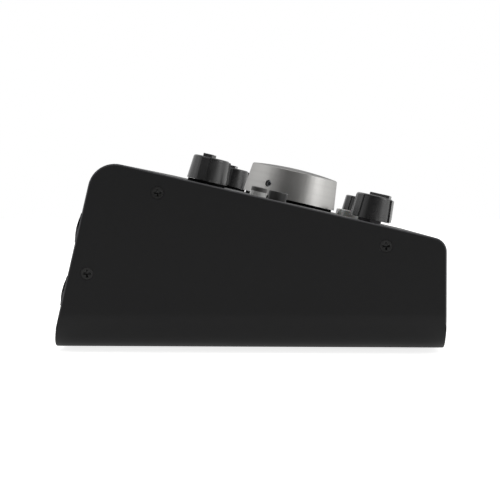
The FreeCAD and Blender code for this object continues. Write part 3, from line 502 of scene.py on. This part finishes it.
def nickel_plate():
    """Bright nickel on turned brass: warm grey with faint handling haze."""
    return plated("nickel_plate", linear("#b5b1a8"), 1.2 * MM, 0.32)


def black_nickel_plate():
    """Smoked plating on the nuts: dark metal that keeps a soft gleam on its flats."""
    return plated("black_nickel_plate", linear("#3a393b"), 1.2 * MM, 0.44)


def zinc_plate():
    """Blue-white zinc on small steel parts: mottled and half dull."""
    return plated("zinc_plate", linear("#a9acb0"), 0.7 * MM, 0.5)


def natural_rubber():
    """Pressed rubber feet: dull, with talc in the pores."""
    base = linear("#191919")
    material, tree, shader, place = begin("natural_rubber", Roughness=0.8)
    pores = add(tree, "TexNoise", {"Vector": place, "Scale": 1 / (0.35 * MM), "Detail": 4})
    tones = {"Factor": pores, "A": base, "B": shade(base, 1.6)}
    connect(tree, shader, {
        "Base Color": add(tree, "Mix", tones, data_type="RGBA"),
        "Normal": add(tree, "Bump", {"Height": pores, "Distance": 0.02 * MM}),
    })
    return material


def solder_mask():
    """Green mask over copper: tracks 6 mm long and 3 mm apart stand a little proud and paler."""
    base = linear("#14502c")
    material, tree, shader, place = begin("solder_mask", Roughness=0.3)
    layout = {"Vector": place, "Scale": 1 / (12 * MM), "Mortar Size": 0.05}
    tracks = add(tree, "TexBrick", layout).outputs["Fac"]
    tones = {"Factor": tracks, "A": base, "B": shade(base, 1.5)}
    connect(tree, shader, {
        "Base Color": add(tree, "Mix", tones, data_type="RGBA"),
        "Normal": add(tree, "Bump", {"Height": tracks, "Distance": 0.03 * MM}),
    })
    return material


def ribbon_pvc():
    """Grey PVC over parallel wires, which show as ribs. A wave texture of scale 1 has twenty
    waves in two pi metres, from which the scale for the wires' pitch follows."""
    base = linear("#9a9da3")
    material, tree, shader, place = begin("ribbon_pvc", Roughness=0.5)
    layout = {"Vector": place, "Scale": 2 * math.pi / (20 * RIBBON_PITCH)}
    wires = add(tree, "TexWave", layout).outputs["Fac"]
    tones = {"Factor": wires, "A": shade(base, 0.8), "B": base}
    connect(tree, shader, {
        "Base Color": add(tree, "Mix", tones, data_type="RGBA"),
        "Normal": add(tree, "Bump", {"Height": wires, "Distance": 0.25 * MM}),
    })
    return material


def sleeve_pvc():
    """Dark blue shrink sleeve on the capacitors, drawn tight and slightly rippled."""
    base = linear("#1d2440")
    material, tree, shader, place = begin("sleeve_pvc", Base_Color=base)
    ripple = add(tree, "TexNoise", {"Vector": place, "Scale": 1 / (2 * MM)})
    dulling = {"Value": ripple, **NOISE_RANGE, "To Min": 0.2, "To Max": 0.34}
    connect(tree, shader, {
        "Roughness": add(tree, "MapRange", dulling),
        "Normal": add(tree, "Bump", {"Height": ripple, "Distance": 0.05 * MM}),
    })
    return material


def screen_ink():
    """Screen-printed ink: matte, with the mesh's slight unevenness, drawn 0.3 mm across, which
    is coarser than a real mesh, so that it shows."""
    base = bpy.context.scene.controller_finish.print_ink
    material, tree, shader, place = begin("screen_ink", Roughness=0.6)
    uneven = add(tree, "TexNoise", {"Vector": place, "Scale": 1 / (0.3 * MM)})
    tones = {"Factor": uneven, "A": shade(base, 0.88), "B": base}
    connect(tree, shader, {"Base Color": add(tree, "Mix", tones, data_type="RGBA")})
    return material


def groove_enamel():
    """Black enamel wiped into the dial's pointer groove."""
    base = linear("#0e0e0f")
    material, tree, shader, place = begin("groove_enamel", IOR=1.5)
    pull = add(tree, "TexNoise", {"Vector": place, "Scale": 1 / (0.8 * MM)})
    dulling = {"Value": pull, **NOISE_RANGE, "To Min": 0.2, "To Max": 0.4}
    tones = {"Factor": pull, "A": base, "B": shade(base, 1.4)}
    connect(tree, shader, {
        "Base Color": add(tree, "Mix", tones, data_type="RGBA"),
        "Roughness": add(tree, "MapRange", dulling),
    })
    return material


# ---------------------------------------------------------------- piece helpers
def wear(node, material):
    """Gives a construction node its finish."""
    slots = frame["nodes"][node].data.materials
    slots.clear()
    slots.append(material)


def corner_tree(nodes):
    """Looks up how near a point is to the corners of some nodes."""
    points = [corner.co for node in nodes for corner in frame["nodes"][node].data.vertices]
    tree = kdtree.KDTree(len(points))
    for index, point in enumerate(points):
        tree.insert(point, index)
    tree.balance()
    return tree


def settle(elements, measure):
    """Numbers a mesh's corners or faces in the order of a measure."""
    rank = {element: place for place, element in enumerate(sorted(elements, key=measure))}
    elements.sort(key=rank.get)
    elements.index_update()


def ring(mesh, inner, outer, low, high):
    """Adds a flat ring round the face's normal by turning its section."""
    middle = Matrix.Translation(((inner + outer) / 2, 0, (low + high) / 2))
    upright = Matrix.Rotation(math.radians(90), 4, "X")
    section = middle @ upright @ Matrix.Diagonal((outer - inner, high - low, 1, 1))
    unit_square = bmesh.ops.create_grid(mesh, x_segments=1, y_segments=1, size=0.5, matrix=section)
    corners = unit_square["verts"]
    outline = list({edge for corner in corners for edge in corner.link_edges})
    inside = list({face for edge in outline for face in edge.link_faces})
    bmesh.ops.delete(mesh, geom=inside, context="FACES_ONLY")
    profile = corners + outline
    full_turn = 2 * math.pi
    bmesh.ops.spin(
        mesh, geom=profile, axis=(0, 0, 1), angle=full_turn, steps=RING_STEPS, use_merge=True
    )
    bmesh.ops.recalc_face_normals(mesh, faces=mesh.faces)
    # The turn leaves corners and faces in an order that changes from run to run.
    settle(mesh.verts, lambda corner: corner.co[:])
    settle(mesh.faces, lambda face: sorted(corner.index for corner in face.verts))


def new_piece(name, mesh, material, body):
    """Makes a mesh an object that rides on a body and shows one finish."""
    data = bpy.data.meshes.new(name)
    mesh.to_mesh(data)
    mesh.free()
    data.materials.append(material)
    piece = bpy.data.objects.new(name, data)
    bpy.context.scene.collection.objects.link(piece)
    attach(piece, body)
    return piece


def edged(node, width, material, segments=3, crisp_beside=(), wide_beyond=0.0, cuts=()):
    """A copy of a node with its sharp edges rounded, shown in its place.
    Edges that lie against the crisp_beside nodes stay as they are, and those nearer to the
    middle plane than wide_beyond get a third of the width, which a thin sheet has room for.
    Planes in cuts, each a point and a normal, split long thin faces into simple ones."""
    source = frame["nodes"][node]
    mesh = bmesh.new()
    mesh.from_mesh(source.data)
    bmesh.ops.remove_doubles(mesh, verts=mesh.verts, dist=WELD)
    bmesh.ops.dissolve_limit(mesh, angle_limit=FLAT_ANGLE, verts=mesh.verts, edges=mesh.edges)
    for place, normal in cuts:
        everything = [*mesh.verts, *mesh.edges, *mesh.faces]
        bmesh.ops.bisect_plane(mesh, geom=everything, plane_co=place, plane_no=normal)
    weight = mesh.edges.layers.float.new("bevel_weight_edge")
    beside = corner_tree(crisp_beside) if crisp_beside else None
    for edge in mesh.edges:
        sharp = edge.is_manifold and edge.calc_face_angle() > SHARP_ANGLE
        middle = (edge.verts[0].co + edge.verts[1].co) / 2
        free = beside is None or beside.find(middle)[2] > BESIDE
        share = 1.0 if abs(middle.x) >= wide_beyond else NARROWED
        edge[weight] = share if sharp and free else 0.0
    for face in mesh.faces:
        face.smooth = True
    piece = new_piece(node + "_edged", mesh, material, source["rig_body"])
    bevel = piece.modifiers.new("edge_break", "BEVEL")
    bevel.width = width
    bevel.segments = segments
    bevel.limit_method = "WEIGHT"
    weighting = piece.modifiers.new("flat_faces", "WEIGHTED_NORMAL")
    weighting.mode = "FACE_AREA"
    weighting.weight = LARGE_FACES_LEAD
    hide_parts(node)
    return piece


# ---------------------------------------------------------------- printing
def scale_angle(step, steps, arc):
    """Direction of a tick on a scale that is even about the face's upward direction."""
    return math.pi / 2 + arc * (0.5 - step / steps)


def on_face(node, point, out):
    """A point moved along a normal onto the outermost face of a node."""
    face = max(corner.co.dot(out) for corner in frame["nodes"][node].data.vertices)
    return point + out * (face - point.dot(out))


def bar(mesh, turn, near, far, width, height):
    """Adds a thin block that runs outward from near to far at a turn."""
    size = Matrix.Diagonal((far - near, width, height, 1))
    middle = Matrix.Translation(((far + near) / 2, 0, height / 2))
    bmesh.ops.create_cube(mesh, size=1, matrix=Matrix.Rotation(turn, 4, "Z") @ middle @ size)


def tick_ring(arc, steps, inner, outer, ink, longer):
    """Ticks round a knob, every so many of them drawn longer."""
    mesh = bmesh.new()
    for step in range(steps + 1):
        reach = outer + (longer if step % LONG_EVERY == 0 else 0)
        bar(mesh, scale_angle(step, steps, arc), inner, reach, ink.tick, ink.thickness)
    return mesh


def write(mesh, text, x, y, height, thickness):
    """Adds upright lettering as thin solid shapes centred on (x, y)."""
    curve = bpy.data.curves.new("lettering", "FONT")
    curve.body = text
    curve.size = height / DIGIT_SHARE
    curve.align_x = "CENTER"
    curve.align_y = "CENTER"
    curve.resolution_u = LETTER_STEPS
    curve.extrude = thickness / 2
    holder = bpy.data.objects.new("lettering", curve)
    bpy.context.scene.collection.objects.link(holder)
    graph = bpy.context.evaluated_depsgraph_get()
    solid = bpy.data.meshes.new_from_object(holder.evaluated_get(graph))
    solid.transform(Matrix.Translation((x, y, thickness / 2)))
    mesh.from_mesh(solid)
    bpy.data.objects.remove(holder)
    bpy.data.curves.remove(curve)
    bpy.data.meshes.remove(solid)


def printed(name, mesh, where, body="housing"):
    """Lays printed marks on a face."""
    mesh.transform(where)
    bmesh.ops.remove_doubles(mesh, verts=mesh.verts, dist=INK_WELD)
    bmesh.ops.recalc_face_normals(mesh, faces=mesh.faces)
    return new_piece(name, mesh, ready(screen_ink), body)


# ---------------------------------------------------------------- operators
class CONTROLLER_OT_case(bpy.types.Operator):
    """Finish the steel case, its screws and feet"""

    bl_idname = "controller.case"
    bl_label = "Steel case"

    def execute(self, context):
        finish, edges = context.scene.controller_finish, context.scene.controller_edges
        coat = powder_coated_steel(finish.coat)
        outer = CAD_BOX[1][0] - edges.sheet
        cuts = [(Vector((place, 0, 0)), ACROSS) for place in RIM_SPLITS]
        cuts.append((Vector((0, 0, BEND_TOP)), Vector((0, 0, 1))))
        beside = ("side_screws",)
        shell = edged("base_shell", edges.wall, coat, crisp_beside=beside, wide_beyond=outer, cuts=cuts)
        # The edge breaks wear a paler coat: a painted highlight along the side walls' edges, where the
        # coat also runs thin.
        shell.data.materials.append(thinned_coat(shade(finish.coat, EDGE_HIGHLIGHT_LIFT)))
        # The widths leave room on every face of the shell, so its shortest edges don't narrow them.
        shell.modifiers["edge_break"].use_clamp_overlap = False
        shell.modifiers["edge_break"].material = 1
        edged("wrap_cover", edges.sheet, coat, crisp_beside=beside)
        edged("rear_panel", edges.sheet, coat, crisp_beside=beside)
        screws = edged("side_screws", edges.screw, black_oxide_steel(finish.screw), segments=2)
        screws.modifiers["edge_break"].use_clamp_overlap = False
        wear("rubber_feet", natural_rubber())
        wear("clinch_nuts", ready(zinc_plate))
        return {"FINISHED"}


class CONTROLLER_OT_dial(bpy.types.Operator):
    """Finish the large dial, its pointer, set screw, shaft and seat"""

    bl_idname = "controller.dial"
    bl_label = "Level dial"

    def execute(self, context):
        finish, edges = context.scene.controller_finish, context.scene.controller_edges
        metal = turned_aluminium(finish.dial)
        edged("main_dial", edges.dial, metal, crisp_beside=("dial_set_screw",))
        wear("dial_set_screw", ready(zinc_plate))
        wear("dial_seat_ring", ready(pressed_felt))
        # A felt ring rises into the gap under the dial, a dark filler that stands in for the shade
        # there.
        seat = bmesh.new()
        ring(seat, *DIAL_GAP_FILLER, GAP_FILLER_BASE, GAP_FILLER_TOP)
        seat.transform(facing(DIAL_CENTRE, ACROSS, PANEL_OUT))
        new_piece("dial_gap_shade_filler", seat, ready(pressed_felt), "housing")
        paint = bmesh.new()
        bar(paint, math.radians(90), GROOVE_NEAR, GROOVE_FAR, GROOVE_WIDTH, ENAMEL_DEPTH)
        bmesh.ops.translate(paint, verts=paint.verts, vec=(0, 0, ENAMEL_BASE))
        paint.transform(facing(DIAL_CENTRE, ACROSS, PANEL_OUT))
        new_piece("dial_pointer_fill", paint, groove_enamel(), "dial")
        wear("main_pot_shaft", ready(zinc_plate))
        return {"FINISHED"}


class CONTROLLER_OT_knobs(bpy.types.Operator):
    """Finish the four small knobs, their pointers, shafts and seats"""

    bl_idname = "controller.knobs"
    bl_label = "Small knobs"

    def execute(self, context):
        finish, edges = context.scene.controller_finish, context.scene.controller_edges
        rubber = soft_touch_rubber(finish.knob)
        for name in KNOBS:
            edged("knob_" + name, edges.moulded, rubber)
            wear("shaft_" + name, ready(zinc_plate))
        wear("knob_seat_rings", ready(pressed_felt))
        for name in KNOBS:
            joint = "knob_" + name + "_turn"
            place = facing(Vector(JOINTS[joint]["pos_m"]), ACROSS, PANEL_OUT)
            line = bmesh.new()
            bar(line, pointing(joint), POINTER_NEAR, POINTER_FAR, POINTER_WIDTH, POINTER_INK)
            bmesh.ops.translate(line, verts=line.verts, vec=(0, 0, POINTER_TOP))
            printed("pointer_line_" + name, line, place, "level_" + name)
            # The rear knobs get a felt ring that rises into the gap under them, a dark filler that
            # stands in for the shade there.
            if name.startswith("rear"):
                seat = bmesh.new()
                ring(seat, *KNOB_GAP_FILLER, GAP_FILLER_BASE, GAP_FILLER_TOP)
                seat.transform(place)
                filler_name = "knob_gap_shade_filler_" + name
                new_piece(filler_name, seat, ready(pressed_felt), "housing")
        return {"FINISHED"}


class CONTROLLER_OT_buttons(bpy.types.Operator):
    """Finish the push buttons and the lamps under them"""

    bl_idname = "controller.buttons"
    bl_label = "Push buttons"

    def execute(self, context):
        lens = milky_polycarbonate(context.scene.controller_finish.lens)
        dark = ready(moulded_abs)
        for node in MODE_BUTTONS:
            wear(node, lens)
        for side in ("left", "right"):
            wear("mute_button_" + side, dark)
            wear("cue_button_" + side + "_cap", ready(smoked_polycarbonate))
            wear("cue_button_" + side + "_collar", ready(clear_polycarbonate))
        wear("power_button", dark)
        wear("button_lamps", ready(clear_polycarbonate))
        return {"FINISHED"}


class CONTROLLER_OT_connectors(bpy.types.Operator):
    """Finish the jacks, sockets and their nuts"""

    bl_idname = "controller.connectors"
    bl_label = "Connectors"

    def execute(self, context):
        for node in ("rear_jacks", "phones_jacks", "power_inlet"):
            wear(node, ready(glass_filled_nylon))
        for node in ("power_switch", "ribbon_headers", "talkback_mic"):
            wear(node, ready(moulded_abs))
        for node in ("rear_jack_nuts", "phones_jack_nuts"):
            wear(node, ready(black_nickel_plate))
        for node in ("usb_socket", "power_inlet_pin"):
            wear(node, ready(nickel_plate))
        wear("usb_tongue", ready(white_nylon))
        return {"FINISHED"}


class CONTROLLER_OT_electronics(bpy.types.Operator):
    """Finish the boards and what they carry"""

    bl_idname = "controller.electronics"
    bl_label = "Boards"

    def execute(self, context):
        mask, ribbon = solder_mask(), ribbon_pvc()
        for node in ("main_board", "rear_board", "phones_board"):
            wear(node, mask)
        for node in ("op_amp_chips", "relays", "button_switches", "main_pot", "level_pots"):
            wear(node, ready(moulded_epoxy))
        for node in ("board_spacers", "board_screws"):
            wear(node, ready(zinc_plate))
        for node in ("main_pot_nut", "level_pot_nuts", "main_pot_washer", "level_pot_washers"):
            wear(node, ready(black_nickel_plate))
        for node in ("rear_ribbon", "phones_ribbon"):
            wear(node, ribbon)
        wear("capacitors", sleeve_pvc())
        return {"FINISHED"}


class CONTROLLER_OT_scales(bpy.types.Operator):
    """Print the scales round the dial and the small knobs, and number the jacks"""

    bl_idname = "controller.scales"
    bl_label = "Printed scales"

    def execute(self, context):
        ink = context.scene.controller_print
        arc = sweep("dial_turn")
        marks = tick_ring(arc, DIAL_TICKS, ink.dial_inner, ink.dial_outer, ink, DIAL_LONGER)
        printed("dial_scale", marks, facing(DIAL_CENTRE, ACROSS, PANEL_OUT))
        for name in KNOBS:
            joint = "knob_" + name + "_turn"
            arc = sweep(joint)
            marks = tick_ring(arc, KNOB_TICKS, ink.knob_inner, ink.knob_outer, ink, KNOB_LONGER)
            radius = ink.knob_outer + KNOB_LONGER + ink.numeral * NUMBER_GAP
            for step in NUMBERED:
                turn = scale_angle(step, KNOB_TICKS, arc)
                x, y = radius * math.cos(turn), radius * math.sin(turn)
                write(marks, str(step), x, y, ink.numeral, ink.thickness)
            centre = Vector(JOINTS[joint]["pos_m"])
            printed("scale_" + name, marks, facing(centre, ACROSS, PANEL_OUT))
        for row, first in JACK_ROWS:
            for along in range(JACKS_IN_ROW):
                port = PORTS[f"rear_jack_{row}_{along + 1}"]
                self.number(ink, first + along, port, "rear_panel", -ACROSS, REAR_OUT)
        for number, side in enumerate(("left", "right"), start=1):
            port = PORTS["phones_jack_" + side]
            self.number(ink, number, port, "wrap_cover", ACROSS, FRONT_OUT)
        return {"FINISHED"}

    def number(self, ink, number, port, node, across, out):
        """Prints a port's number over its nut."""
        marks = bmesh.new()
        write(marks, str(number), 0, NUMBER_RISE, ink.numeral, ink.thickness)
        centre = on_face(node, Vector(port["pos_m"]), out)
        printed("number_" + port["name"], marks, facing(centre, across, out))


# ---------------------------------------------------------------- stage
def softbox(name, box, power):
    """A rectangular lamp that faces the object."""
    place, size = box
    data = bpy.data.lights.new(name, "AREA")
    data.shape = "RECTANGLE"
    data.size, data.size_y = size
    data.energy = power
    light = bpy.data.objects.new(name, data)
    light.location = place
    ray = Vector(LIT_POINT) - Vector(place)
    light.rotation_euler = ray.to_track_quat("-Z", "Y").to_euler()
    bpy.context.scene.collection.objects.link(light)
    return light


def floor_paint(base, bounce):
    """Matte paint that shows white to the lens and pale in reflections, and keeps the shadow."""
    material, tree, shader, place = begin("floor_paint", Roughness=0.9)
    mottle = add(tree, "TexNoise", {"Vector": place, "Scale": 1 / (40 * MM)})
    tones = {"Factor": mottle, "A": shade(base, 0.985), "B": base}
    connect(tree, shader, {"Base Color": add(tree, "Mix", tones, data_type="RGBA")})
    rays = add(tree, "LightPath")
    glow = 0.0
    seen_by = {"Is Glossy Ray": bounce, "Is Transmission Ray": WHITE, "Is Camera Ray": FLOOR_SEEN}
    for ray, strength in seen_by.items():
        glow = add(tree, "Mix", {"Factor": rays.outputs[ray], "A": glow, "B": strength})
    both = add(tree, "AddShader", {0: shader, 1: add(tree, "Emission", {"Strength": glow})})
    connect(tree, tree.nodes["Material Output"], {"Surface": both})
    return material


def room_light(bright, dark):
    """A pale room that falls off to shade behind the lens; the lens itself sees white."""
    world = bpy.data.worlds.new("studio")
    world.use_nodes = True
    tree = world.node_tree
    way = add(tree, "TexCoord").outputs["Generated"]
    towards_shade = add(tree, "VectorMath", {0: way, 1: SHADE_WAY}, operation="DOT_PRODUCT")
    reach = {"Value": towards_shade, "From Min": SHADE_START, "From Max": SHADE_END}
    fall = add(tree, "MapRange", reach, interpolation_type="SMOOTHSTEP")
    rays = add(tree, "LightPath")
    lit = add(tree, "Mix", {"Factor": fall, "A": bright, "B": dark})
    mirrored = add(tree, "Mix", {"Factor": fall, "A": WHITE, "B": dark})
    strength = add(tree, "Mix", {"Factor": rays.outputs["Is Glossy Ray"], "A": lit, "B": mirrored})
    for ray in ("Is Transmission Ray", "Is Camera Ray"):
        strength = add(tree, "Mix", {"Factor": rays.outputs[ray], "A": strength, "B": WHITE})
    connect(tree, tree.nodes["Background"], {"Color": linear("#ffffff"), "Strength": strength})
    return world


class CONTROLLER_OT_stage(bpy.types.Operator):
    """Set the floor, the lights and the camera"""

    bl_idname = "controller.stage"
    bl_label = "Stage"

    def execute(self, context):
        stage = context.scene.controller_stage
        mesh = bmesh.new()
        bmesh.ops.create_grid(mesh, x_segments=1, y_segments=1, size=FLOOR_REACH)
        data = bpy.data.meshes.new("floor")
        mesh.to_mesh(data)
        mesh.free()
        data.materials.append(floor_paint(stage.floor, stage.bounce))
        floor = bpy.data.objects.new("floor", data)
        context.scene.collection.objects.link(floor)
        context.scene.world = room_light(stage.room, stage.shade)
        softbox("key_softbox", KEY_BOX, stage.key)
        softbox("fill_softbox", FILL_BOX, stage.fill)
        # The lamp above lights the panel without a white patch of its own in the gloss.
        softbox("top_softbox", TOP_BOX, stage.top).visible_glossy = False
        self.camera(context, stage)
        return {"FINISHED"}

    def camera(self, context, stage):
        """Sets the lens beyond the left side wall and the plain view transform."""
        data = bpy.data.cameras.new("camera")
        data.lens = stage.lens
        data.shift_x, data.shift_y = stage.shift
        view = bpy.data.objects.new("camera", data)
        left = CAD_BOX[0][0]
        view.location = (left - stage.distance, stage.sideways, stage.height)
        sight = Vector((left, *stage.aim)) - view.location
        view.rotation_euler = sight.to_track_quat("-Z", "Y").to_euler()
        context.scene.collection.objects.link(view)
        context.scene.camera = view
        context.scene.view_settings.view_transform = "Standard"


class CONTROLLER_PT_panel(bpy.types.Panel):
    """Buttons and settings of the controller's looks"""

    bl_label = "Monitor controller"
    bl_idname = "CONTROLLER_PT_panel"
    bl_space_type = "VIEW_3D"
    bl_region_type = "UI"
    bl_category = "Controller"

    def draw(self, context):
        for operator in OPERATORS:
            self.layout.operator(operator.bl_idname)
        for name in SETTINGS:
            box = self.layout.box()
            group = getattr(context.scene, name)
            for key in group.__annotations__:
                box.prop(group, key)


SETTINGS = {
    "controller_finish": FinishSettings,
    "controller_edges": EdgeSettings,
    "controller_print": PrintSettings,
    "controller_stage": StageSettings,
}
OPERATORS = (
    CONTROLLER_OT_case,
    CONTROLLER_OT_dial,
    CONTROLLER_OT_knobs,
    CONTROLLER_OT_buttons,
    CONTROLLER_OT_connectors,
    CONTROLLER_OT_electronics,
    CONTROLLER_OT_scales,
    CONTROLLER_OT_stage,
)


def register():
    """Makes the settings, operators and panel known."""
    for group in SETTINGS.values():
        bpy.utils.register_class(group)
    for name, group in SETTINGS.items():
        setattr(bpy.types.Scene, name, bpy.props.PointerProperty(type=group))
    for cls in (*OPERATORS, CONTROLLER_PT_panel):
        bpy.utils.register_class(cls)


def unregister():
    """Takes the settings, operators and panel away again."""
    for cls in reversed((*OPERATORS, CONTROLLER_PT_panel)):
        bpy.utils.unregister_class(cls)
    for name in SETTINGS:
        delattr(bpy.types.Scene, name)
    for group in reversed(list(SETTINGS.values())):
        bpy.utils.unregister_class(group)


def main():
    """Runs every operator in order."""
    register()
    for operator in OPERATORS:
        group, name = operator.bl_idname.split(".")
        getattr(getattr(bpy.ops, group), name)()


if __name__ == "__main__":
    main()
